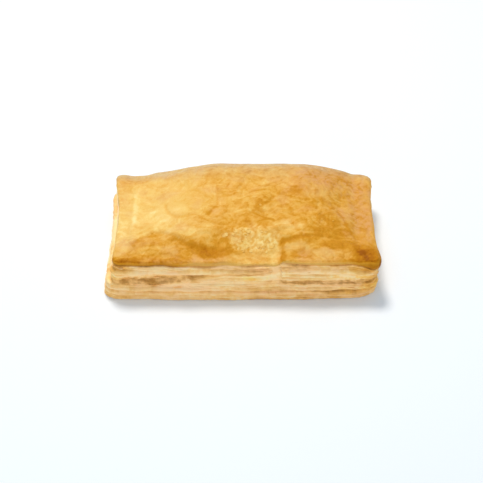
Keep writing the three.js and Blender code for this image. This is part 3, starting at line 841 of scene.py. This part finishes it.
def side_values(sides, share, bulge, groove, drape, tone, specks, seam, toasted, chips):
    """How brown, how dull and how golden the leaves are along one row of points."""
    shade = LEAF_BROWNING
    # The open seam gets painted shade.
    brown = shade["all"] + shade["tone"] * tone + shade["seam"] * seam + sides.grain("browning", share)
    brown = brown + (shade["chips"] + shade["toasted_chips"] * toasted) * chips + shade["toasted"] * toasted
    dull = LEAF_DULLING["all"] + sides.grain("dulling", share) + LEAF_DULLING["chips"] * chips
    on_left = sides.facing_left * stretch(sides.base[:, 1], *LEFT_FACE["stretch"])
    brown = brown + LEFT_FACE["browning"] * on_left
    ragged = 1 + sides.grain("ragged edges", share)
    brown, dull = add_patches(SIDE_PATCHES, sides.x, share, brown, dull, sides.facing_front, ragged)
    brown = brown + BASE_SHEET["browning"] * (1 - smoothstep(share, *BASE_SHEET["top"]))
    depth = np.clip(-groove / GROOVE_SHADE["full_depth"], 0, GROOVE_SHADE["most"])
    in_groove = (1 - bulge) ** GROOVE_SHADE["power"] * depth * (1 - drape)
    brown = brown + GROOVE_SHADE["browning"] * in_groove + SPECKS["browning"] * specks
    brown = lerp(brown, DRAPE["browning"], DRAPE["cover"] * drape)
    dull = lerp(dull, DRAPE["dulling"], drape)
    return capped(brown, **SIDE_CAP), np.clip(dull, 0, 1), np.clip(-dull, 0, 1)


def toasted_zone(sides, share):
    """1 where the leaves are toasted and crumbly, 0 elsewhere."""
    edge = SPECKS["edge"]
    hidden = (1 - sides.facing_front) * smoothstep(sides.ripple("hidden toasting"), *HIDDEN_TOASTING)
    zone = hidden * stretch(share, *TOASTED_ZONES[0][3:], edge)
    for low, high, soft, foot, top in TOASTED_ZONES:
        along = sides.facing_front * stretch(sides.x, low, high, soft)
        zone = zone + along * stretch(share, foot, top, edge)
    return zone


def side_rows(sides):
    """The rows of points round the side from the top down, and each row's material values."""
    rows, values = [], []
    above, gap_above = np.ones_like(sides.way), np.zeros_like(sides.way)
    above_sheet = sides.sheet_reach(LEAVES[0])
    drape_along = sides.front * bell(sides.x - DRAPE["x"], DRAPE["width"])
    hidden_seam = SEAM["hidden"] + sides.ripple("hidden seam")
    seam_open = np.where(sides.front > 0, profile(SEAM_OPEN, sides.x), hidden_seam)
    for row, (share_below, gap_below, leaf, index, is_last) in enumerate(thin_leaves(sides)):
        skin = leaf.name == "skin"
        sheet = sides.sheet_reach(leaf)
        nose = sides.nose_reach(leaf, index)
        seam = np.zeros_like(nose)
        by_seam = is_last and leaf.name in BESIDE_SEAM
        if by_seam:
            gap_below = gap_below * np.clip(seam_open, SEAM["least_groove"], 1)
        if leaf.name == "seam":
            strands = smoothstep(sides.ripple("strands"), *SEAM["strands"])
            seam = np.clip(seam_open - SEAM["closed_by"] * strands, 0, 1)
            nose = lerp(SEAM["flush"], nose, seam)
        elif not skin and not by_seam:
            nose = nose + sides.ripple("nose", row)
        droop = DROOP["lip"] if skin else DROOP["leaves"] * np.clip(sides.ripple("droop", row), 0, 1)
        _, pieces = side_cells(sides.way / PIECE["length"], np.full_like(sides.way, row * PIECE["row_step"]))
        nose = nose + (0 if skin else PIECE["depth"]) * pieces
        tone = sides.ripple("tone", row) + PIECE["tone"] * pieces
        for t in LEAF_ROWS:
            bulge = 1 - abs(2 * t - 1) ** NOSE_POWER
            share = lerp(above, share_below, t)
            groove = -np.where(t < 0.5, gap_above, gap_below)
            toasted = toasted_zone(sides, share)
            specks = toasted * smoothstep(sides.grain("specks", share), *SPECKS["between"])
            _, chips = side_cells(sides.way / CHIP["length"], sides.lid[:, 2] * share / CHIP["height"])
            crumbs = sides.grain("crumbs", share) + toasted * sides.grain("toasted crumbs", share)
            reach = lerp(groove, nose, bulge) + (0 if skin else 1) * crumbs * bulge
            reach = reach - SPECKS["recess"] * specks - CHIP["depth"] * toasted * chips
            drape = drape_along * smoothstep(share, *DRAPE["share"])
            reach = lerp(reach, DRAPE["reach"], drape) + lerp(above_sheet, sheet, smoothstep(t, *SHEET_STEP))
            at_foot = share_below.max() <= 0 and t == LEAF_ROWS[-1]
            rows.append(sides.points(0 * share if at_foot else share, reach, 0 if at_foot else droop * bulge))
            brown, dull, gold = side_values(
                sides, share, bulge, groove, drape, tone, specks, seam, toasted, chips)
            values.append({"browning": brown, "dulling": dull, "gilding": gold, "share": share})
        above, gap_above, above_sheet = share_below, gap_below, sheet
    return rows, values


# --- The closed mesh
# How brown the lip's face is along the front, and how much browner the skin is just above it: x, browning.
LIP_FACE = (
    (-70, 0.66), (-47, 0.66), (-42, 0.78), (-34, 0.76), (-27, 0.5), (-14, 0.44), (0, 0.4), (20, 0.36),
    (32, 0.42), (50, 0.42), (60, 0.6), (66, 0.72), (71, 0.72),
)
LIP_BROWNING = ((-70, 0.18), (-58, 0.16), (-30, 0.1), (-14, 0), (30, 0.02), (50, 0.07), (62, 0.1), (71, 0.06))
# The skin above the lip is browner near the rim and towards the front. The lip's face has its own browning by
# a 'share', and its foot is browner by 'more' times what the skin above is. 'blur' is in stations.
LIP = {
    "softness": 6, "power": 1.5, "front": (-1, -0.8), "hidden": 0.1, "blur": 4, "share": 0.8,
    "face": (0, 0.03), "foot": (0.04, 0.11), "more": 1.6, "dulling": 0.5,
}


def crowded_steps(count):
    """Even steps from -1 to 1, drawn together towards both ends."""
    t = np.linspace(-1, 1, count + 1)
    return (1 - RIM_CROWDING) * t + RIM_CROWDING * np.sin(np.pi / 2 * t)


def grid_steps():
    """The top's grid of u and v. In front, the two columns nearest the tear run along its two edges."""
    columns = crowded_steps(COLUMNS)
    u, v = np.meshgrid(columns, crowded_steps(ROWS))
    tear, edge = TEAR["x"] / LID["right"], TEAR["step"] / 2 / LID["right"]
    after = int(np.argmax(columns > tear))
    drift = smoothstep(v[:, 0], *TEAR_DRIFT)
    u[:, after - 1] = lerp(tear - edge, columns[after - 1], drift)
    u[:, after] = lerp(tear + edge, columns[after], drift)
    return u, v


def rim_cells():
    """The outline of the grid as rows and columns, anticlockwise from the front left corner."""
    across, along = range(COLUMNS), range(ROWS)
    cells = [(0, i) for i in across] + [(j, COLUMNS) for j in along]
    cells += [(ROWS, COLUMNS - i) for i in across] + [(ROWS - j, 0) for j in along]
    return tuple(np.array(cells).T)


def solid_box():
    return [np.array(corner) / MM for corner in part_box("pasty")]


def fit_to_box(points):
    """The scale and the move, both very small, with which the points fill the solid's box."""
    low, high = solid_box()
    mine_low, mine_high = points.min(axis=0), points.max(axis=0)
    scale = (high - low) / (mine_high - mine_low)
    return scale, low - mine_low * scale


def add_values(mesh, name, values):
    layer = mesh.attributes.new(name, "FLOAT", "POINT")
    layer.data.foreach_set("value", np.asarray(values, np.float32))


def add_object(name, data):
    thing = bpy.data.objects.new(name, data)
    bpy.context.scene.collection.objects.link(thing)
    return thing


def add_piece(name, mesh, materials):
    piece = add_object(name, mesh)
    for material in materials:
        mesh.materials.append(material)
    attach(piece, "root")
    return piece


def quads_between(first, second):
    """The faces between two rows of points, as the points' numbers."""
    return np.stack([first, second, np.roll(second, -1), np.roll(first, -1)], axis=-1)


def body_faces(top_shape, rim, row_count):
    """The body's faces, with the skin's material for the top and the upper part of the lip."""
    grid = np.arange(top_shape[0] * top_shape[1]).reshape(top_shape)
    corners = [grid[:-1, :-1], grid[:-1, 1:], grid[1:, 1:], grid[1:, :-1]]
    quads = [np.stack(corners, axis=-1).reshape(-1, 4)]
    materials = [np.zeros(len(quads[0]), int)]
    above = grid[rim]
    stations = len(above)
    for number in range(row_count):
        below = grid.size + number * stations + np.arange(stations)
        quads.append(quads_between(above, below))
        materials.append(np.full(stations, 0 if number < len(LEAF_ROWS) - 1 else 1))
        above = below
    faces = [face.tolist() for group in quads for face in group] + [above[::-1].tolist()]
    return faces, np.concatenate([*materials, [2]]).astype(np.int32)


def brown_the_lip(u, v, x, brown, dull, rim, sides, lip_rows):
    """The skin's browning with the lip's above its edge, and the values of the lip's own rows."""
    near_rim = (1 - smoothstep(rim_distance(u, v), 0, LIP["softness"])) ** LIP["power"]
    brown = brown + near_rim * profile(LIP_BROWNING, x) * (1 - smoothstep(v, *LIP["front"]))
    more = np.where(sides.front > 0, profile(LIP_BROWNING, sides.x), LIP["hidden"])
    shifts = range(-LIP["blur"], LIP["blur"] + 1)
    rim_brown = sum(np.roll(brown[rim], shift) for shift in shifts) / len(shifts)
    face = np.where(sides.front > 0, profile(LIP_FACE, sides.x), rim_brown)
    for values in lip_rows:
        depth = 1 - values["share"]
        brown_face = lerp(rim_brown, face, LIP["share"] * smoothstep(depth, *LIP["face"]))
        values["browning"] = brown_face + LIP["more"] * more * smoothstep(depth, *LIP["foot"])
        values["dulling"] = dull[rim] * LIP["dulling"]
    return brown


def make_body():
    """The body's mesh, the stations of its side, and the fit to the solid's box."""
    u, v = grid_steps()
    top = top_points(u, v)
    brown, dull, painted_sheen = skin_values(u, v, top[..., 0], top[..., 1])
    rim = rim_cells()
    sides = Sides(u[rim], v[rim])
    rows, row_values = side_rows(sides)
    brown = brown_the_lip(u, v, top[..., 0], brown, dull, rim, sides, row_values[:len(LEAF_ROWS)])
    points = np.concatenate([top.reshape(-1, 3), *rows])
    scale, move = fit_to_box(points)
    faces, materials = body_faces(brown.shape, rim, len(rows))
    smooth = np.arange(len(faces)) < len(faces) - 1

    mesh = bpy.data.meshes.new("pasty_body")
    mesh.from_pydata(((points * scale + move) * MM).tolist(), [], faces)
    mesh.polygons.foreach_set("use_smooth", smooth)
    mesh.polygons.foreach_set("material_index", materials)
    nothing = np.zeros_like(brown)
    # The painted sheen along the back edge rides along as a value of its own.
    for name, on_top in (("browning", brown), ("dulling", dull), ("gilding", nothing), ("painted_sheen", painted_sheen)):
        on_sides = [values.get(name, nothing[rim]) for values in row_values]
        add_values(mesh, name, np.concatenate([on_top.ravel(), *on_sides]))
    mesh.validate()
    return mesh, sides, (scale, move)


# --- Loose flakes and slivers
FLAKE = {"corners": 7, "turn": (-0.3, 0.3), "radius": (0.7, 1.1), "curl": (-0.1, 0.2)}
SKIN_FLAKES = {"length": (0.7, 1.7), "width": (0.5, 0.9), "thickness": 0.06, "tilt": 0.09, "lift": 0.01}
# Where the skin's flakes lie: an area is between two corners in u and v.
IN_PATCH = {"count": 46, "area": ((-0.2, -0.88), (0.27, -0.5)), "size": 1, "browning": (0.22, 0.42)}
AROUND = {"count": 12, "area": ((-0.4, -0.75), (0.75, 0.1)), "size": 0.7, "browning": (0.42, 0.6)}
# A flake of the patch lies where the patch's shape is over this. Slopes are taken over this step in u and v.
PATCH_LIMIT, SLOPE_STEP = 0.3, 0.01
# 'stand' is how far slivers stand off, 'height' where on a leaf they lie. None lie where the side faces left
# by more than 'left'.
SLIVERS = {
    "count": 110, "length": (1.2, 5), "width": (0.5, 0.9), "thickness": 0.2, "stand": 0.05, "tilt": 0.04,
    "height": (0.15, 0.85), "dip": (-0.35, 0.15), "left": 0.3, "browning": (0.1, 0.45), "dulling": (0, 0.6),
}


def unit(vector):
    return vector / np.linalg.norm(vector)


def flake_mesh(name, flakes, seed, fit):
    """One mesh of thin, closed, curled flakes, each with its own browning and dulling."""
    draw = np.random.default_rng(seed)
    scale, move = fit
    count = FLAKE["corners"]
    ring = np.arange(count)
    points, faces, browning, dulling = [], [], [], []
    for centre, along, across, half_length, half_width, thickness, brown, dull in flakes:
        turn = (ring + draw.uniform(*FLAKE["turn"], count)) * 2 * np.pi / count
        radius = draw.uniform(*FLAKE["radius"], count)
        p, q = half_length * radius * np.cos(turn), half_width * radius * np.sin(turn)
        up = np.cross(along, across)
        curl = draw.uniform(*FLAKE["curl"]) * half_length * (p / half_length) ** 2
        middle = centre + p[:, None] * along + q[:, None] * across + curl[:, None] * up
        top = len(points) * 2 * count + ring
        bottom = top + count
        points.append(np.concatenate([middle + up * thickness / 2, middle - up * thickness / 2]))
        faces += [top.tolist(), bottom[::-1].tolist(), *quads_between(top, bottom).tolist()]
        browning += [brown] * 2 * count
        dulling += [dull] * 2 * count
    points = np.clip(np.concatenate(points) * scale + move, *solid_box())
    mesh = bpy.data.meshes.new(name)
    mesh.from_pydata((points * MM).tolist(), [], faces)
    add_values(mesh, "browning", browning)
    add_values(mesh, "dulling", dulling)
    return mesh


def skin_flakes():
    """Crumbs of skin on the torn patch, and smaller ones over the crackled middle."""
    draw = np.random.default_rng(71)
    flakes = []
    sizes = SKIN_FLAKES
    while len(flakes) < IN_PATCH["count"] + AROUND["count"]:
        kind = IN_PATCH if len(flakes) < IN_PATCH["count"] else AROUND
        u, v = draw.uniform(*kind["area"]).reshape(2, 1, 1)
        here, ahead, aside = (
            np.array([float(value[0, 0]) for value in smooth_top(u + along_u, v + along_v)])
            for along_u, along_v in ((0, 0), (SLOPE_STEP, 0), (0, SLOPE_STEP))
        )
        if kind is IN_PATCH and crumb_patch(here[0], here[1]) < PATCH_LIMIT:
            continue
        centre = top_points(u, v)[0, 0] + (0, 0, sizes["lift"])
        up = unit(np.cross(ahead - here, aside - here)) + draw.normal(0, sizes["tilt"], 3)
        along = unit(np.cross(up, draw.normal(0, 1, 3)))
        across = unit(np.cross(up, along))
        length = draw.uniform(*sizes["length"]) * kind["size"]
        width = length * draw.uniform(*sizes["width"])
        brown = draw.uniform(*kind["browning"])
        flakes.append((centre, along, across, length, width, sizes["thickness"], brown, 0))
    return flakes


def side_slivers(sides):
    """Slivers of dough that stand off the edges of the leaves."""
    draw = np.random.default_rng(72)
    slivers = []
    sizes = SLIVERS
    for station in draw.choice(np.flatnonzero(sides.facing_left < sizes["left"]), sizes["count"]):
        index = int(draw.integers(1, len(LEAVES)))
        leaf = LEAVES[index]
        foot, head = (sides.foot_share(LEAVES[i], i)[station] for i in (index, index - 1))
        share = lerp(foot, head, draw.uniform(*sizes["height"]))
        reach = max(leaf.nose, 0) + sides.sheet_reach(leaf)[station]
        width = draw.uniform(*sizes["width"])
        out = np.array([*sides.out[station], 0])
        reach = reach + sizes["stand"] - width
        flat = lerp(sides.base[station], sides.lid[station, :2], share) + out[:2] * reach
        centre = np.array([*flat, sides.lid[station, 2] * share])
        across = unit(out + (0, 0, draw.uniform(*sizes["dip"])))
        along = unit(np.cross(across, (0, 0, 1)) + draw.normal(0, sizes["tilt"], 3))
        across = np.cross(np.cross(along, across), along)
        length = draw.uniform(*sizes["length"])
        brown, dull = (draw.uniform(*sizes[name]) for name in ("browning", "dulling"))
        slivers.append((centre, along, across, length, width, sizes["thickness"], brown, dull))
    return slivers


# --- Materials
class Tree:
    """Short calls for building one material's nodes."""

    def __init__(self, name):
        self.material = bpy.data.materials.new(name)
        self.material.use_nodes = True
        self.tree = self.material.node_tree
        self.shader = next(node for node in self.tree.nodes if node.type == "BSDF_PRINCIPLED")

    def put(self, socket, value):
        if isinstance(value, bpy.types.NodeSocket):
            self.tree.links.new(value, socket)
        else:
            socket.default_value = value

    def node(self, kind, inputs=(), **settings):
        node = self.tree.nodes.new(kind)
        for name, value in settings.items():
            setattr(node, name, value)
        for name, value in dict(inputs).items():
            self.put(node.inputs[name], value)
        return node

    def value(self, attribute):
        return self.node("ShaderNodeAttribute", attribute_name=attribute).outputs["Fac"]

    def place(self, scale):
        """The place on the object, with each axis multiplied by its scale."""
        coordinates = self.node("ShaderNodeTexCoord").outputs["Object"]
        return self.node("ShaderNodeMapping", {"Vector": coordinates, "Scale": scale}).outputs["Vector"]

    def noise(self, size, detail=2.0, roughness=0.5, scale=(1, 1, 1)):
        """Noise from 0 to 1 with features of a size in millimetres."""
        inputs = {"Vector": self.place(scale), "Scale": 1 / (size * MM)}
        inputs |= {"Detail": detail, "Roughness": roughness}
        return self.node("ShaderNodeTexNoise", inputs).outputs["Fac"]

    def math(self, operation, a, b):
        return self.node("ShaderNodeMath", {0: a, 1: b}, operation=operation).outputs[0]

    def spread(self, value, low, high, to_low=0.0, to_high=1.0):
        inputs = {"Value": value, "From Min": low, "From Max": high, "To Min": to_low, "To Max": to_high}
        return self.node("ShaderNodeMapRange", inputs).outputs["Result"]

    def ramp(self, value, stops):
        node = self.node("ShaderNodeValToRGB", {"Fac": value})
        elements = node.color_ramp.elements
        while len(elements) < len(stops):
            elements.new(1.0)
        for element, (place, colour) in zip(elements, stops):
            element.position = place
            element.color = colour
        return node.outputs["Color"]

    def mix(self, factor, a, b, blend="MIX"):
        """Two colours mixed. The node's sockets 6, 7 and 2 are those for colours."""
        inputs = {"Factor": factor, 6: a, 7: b}
        return self.node("ShaderNodeMix", inputs, data_type="RGBA", blend_type=blend).outputs[2]

    def bump(self, height, distance, normal=None):
        inputs = {"Height": height, "Distance": distance * MM}
        if normal is not None:
            inputs["Normal"] = normal
        return self.node("ShaderNodeBump", inputs).outputs["Normal"]

    def finish(self, **sockets):
        for name, value in sockets.items():
            self.put(self.shader.inputs[name.replace("_", " ")], value)
        return self.material


SKIN_STOPS = (
    (0.0, rgb(240, 216, 150)),
    (0.2, rgb(232, 197, 118)),
    (0.4, rgb(224, 177, 91)),
    (0.56, rgb(216, 161, 68)),
    (0.7, rgb(204, 142, 38)),
    (0.84, rgb(188, 123, 18)),
    (0.94, rgb(170, 103, 8)),
    (1.0, rgb(150, 84, 2)),
)
SKIN_DULL = rgb(214, 163, 110)
# The pale greyish tan of the painted sheen along the back edge.
PAINTED_SHEEN_TONE = (0.46, 0.44, 0.34, 1)
SKIN_WARMTH = (1, 0.955, 0.98, 1)
SHEEN_TINT = (1, 0.88, 0.65, 1)


def skin_material():
    """Egg-washed skin: cream to dark brown by its browning, mottled, with a low gloss and a painted back
    sheen.
    """
    t = Tree("browned_skin")
    mottle = t.spread(t.noise(2.6, detail=3, roughness=0.6), 0.3, 0.7, -0.055, 0.055)
    speckle = t.spread(t.noise(0.8, detail=2, roughness=0.6), 0.3, 0.7, -0.035, 0.035)
    brown = t.math("ADD", t.math("ADD", t.value("browning"), mottle), speckle)
    colour = t.ramp(brown, SKIN_STOPS)
    dull = t.math("MULTIPLY", t.value("dulling"), t.spread(t.noise(2.6), 0.35, 0.6, 0.4, 0.8))
    colour = t.mix(t.math("MULTIPLY", dull, 0.8), colour, SKIN_DULL)
    # Painted sheen: towards the back edge the colour goes pale greyish tan, for the grazing reflection there.
    painted_sheen = t.math("MULTIPLY", t.value("painted_sheen"), t.spread(t.noise(5, detail=3), 0.35, 0.65, 0.3, 0.5))
    colour = t.mix(painted_sheen, colour, PAINTED_SHEEN_TONE)
    colour = t.mix(t.spread(t.noise(8), 0.4, 0.65, 0, 0.8), colour, SKIN_WARMTH, "MULTIPLY")
    roughness = t.spread(t.noise(2.4, detail=2), 0.3, 0.7, 0.42, 0.62)
    coarse = t.bump(t.noise(1.3, detail=3, roughness=0.55), 0.14)
    fine = t.bump(t.noise(0.4, detail=2), 0.05, normal=coarse)
    return t.finish(Base_Color=colour, Roughness=roughness, Normal=fine, IOR=1.3, Specular_IOR_Level=0.2,
                    Specular_Tint=SHEEN_TINT)


LEAF_STOPS = (
    (0.0, rgb(255, 228, 170)),
    (0.2, rgb(252, 206, 132)),
    (0.4, rgb(239, 184, 104)),
    (0.6, rgb(214, 158, 82)),
    (0.8, rgb(172, 119, 46)),
    (1.0, rgb(114, 68, 18)),
)
LEAF_DULL = rgb(255, 208, 152)
LEAF_GILDING = (1, 0.88, 0.42, 1)


def leaves_material():
    """The cut sides: cream leaves with fine strata, toasted edges and brown gaps."""
    t = Tree("dough_leaves")
    strata = t.noise(0.9, detail=3, roughness=0.6, scale=(0.45, 0.45, 1))
    blotch = t.noise(2.6, detail=3, roughness=0.6)
    brown = t.math("ADD", t.value("browning"), t.spread(strata, 0.3, 0.7, -0.025, 0.025))
    brown = t.math("ADD", brown, t.spread(blotch, 0.3, 0.7, -0.09, 0.09))
    colour = t.ramp(brown, LEAF_STOPS)
    pale = t.spread(brown, 0.25, 0.6, 0.8, 0.2)
    colour = t.mix(t.math("MULTIPLY", t.value("dulling"), pale), colour, LEAF_DULL)
    colour = t.mix(t.value("gilding"), colour, LEAF_GILDING, "MULTIPLY")
    coarse = t.bump(strata, 0.06)
    fine = t.bump(t.noise(0.8, detail=3), 0.14, normal=coarse)
    return t.finish(Base_Color=colour, Roughness=0.7, Normal=fine, IOR=1.4)


def underside_material():
    """The flat base, baked on a tray: golden brown with darker spots."""
    t = Tree("baked_base")
    brown = t.spread(t.noise(9, detail=4, roughness=0.6), 0.3, 0.75, 0.45, 0.85)
    fine = t.bump(t.noise(1.2, detail=3), 0.15)
    return t.finish(Base_Color=t.ramp(brown, SKIN_STOPS), Roughness=0.65, Normal=fine)


def table_material():
    """A plain, matt white."""
    return Tree("white_table").finish(Base_Color=(0.82, 0.87, 0.94, 1), Roughness=0.9)


# --- Table, lights and camera, in metres. A light has a place, a width, a power and a colour.
TABLE_HALF = 2.5
LIGHTS = {
    "key": ((-0.12, 0.28, 0.92), 0.26, 6.2, (1, 0.91, 0.8)),
    "front_fill": ((0, -1.2, 0.25), 0.6, 2, (1, 0.8, 0.6)),
}
LIGHTS_AIM = (0, 0, 0.015)
WORLD = {"Color": (0.82, 0.93, 1, 1), "Strength": 0.68}
CAMERA = {"elevation": 44, "distance": 0.759, "aim": (0, 0, 0.0054), "lens": 105.5, "sensor": 36,
          "clip": (0.05, 10)}


def add_table():
    mesh = bpy.data.meshes.new("table_top")
    h = TABLE_HALF
    mesh.from_pydata([(-h, -h, 0), (h, -h, 0), (h, h, 0), (-h, h, 0)], [], [(0, 1, 2, 3)])
    mesh.materials.append(table_material())
    table = add_object("table_top", mesh)


def aim(thing, target):
    direction = np.array(target) - np.array(thing.location)
    thing.rotation_mode = "QUATERNION"
    thing.rotation_quaternion = Vector(direction).to_track_quat("-Z", "Y")


def add_area_light(name, place, width, power, colour):
    light = bpy.data.lights.new(name, "AREA")
    light.shape = "DISK"
    light.size = width
    light.energy = power
    light.color = colour
    lamp = add_object(name, light)
    lamp.location = place
    aim(lamp, LIGHTS_AIM)


def add_world():
    world = bpy.data.worlds.new("studio")
    world.use_nodes = True
    background = next(node for node in world.node_tree.nodes if node.type == "BACKGROUND")
    for name, value in WORLD.items():
        background.inputs[name].default_value = value
    bpy.context.scene.world = world


def add_camera():
    camera = bpy.data.cameras.new("camera")
    camera.lens = CAMERA["lens"]
    camera.sensor_width = CAMERA["sensor"]
    camera.clip_start, camera.clip_end = CAMERA["clip"]
    seen = add_object("camera", camera)
    rise = math.radians(CAMERA["elevation"])
    x, y, z = CAMERA["aim"]
    seen.location = (x, y - CAMERA["distance"] * math.cos(rise), z + CAMERA["distance"] * math.sin(rise))
    aim(seen, CAMERA["aim"])
    bpy.context.scene.camera = seen


# --- The scene
body_mesh, sides, fit = make_body()
skin, leaves = skin_material(), leaves_material()
body = add_piece("pasty_body", body_mesh, (skin, leaves, underside_material()))
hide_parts("pasty")
add_piece("skin_flakes", flake_mesh("skin_flakes", skin_flakes(), 81, fit), (skin,))
add_piece("dough_slivers", flake_mesh("dough_slivers", side_slivers(sides), 82, fit), (leaves,))

add_table()
for light_name, light_values in LIGHTS.items():
    add_area_light(light_name, *light_values)
add_world()
add_camera()
bpy.context.scene.view_settings.view_transform = "Standard"
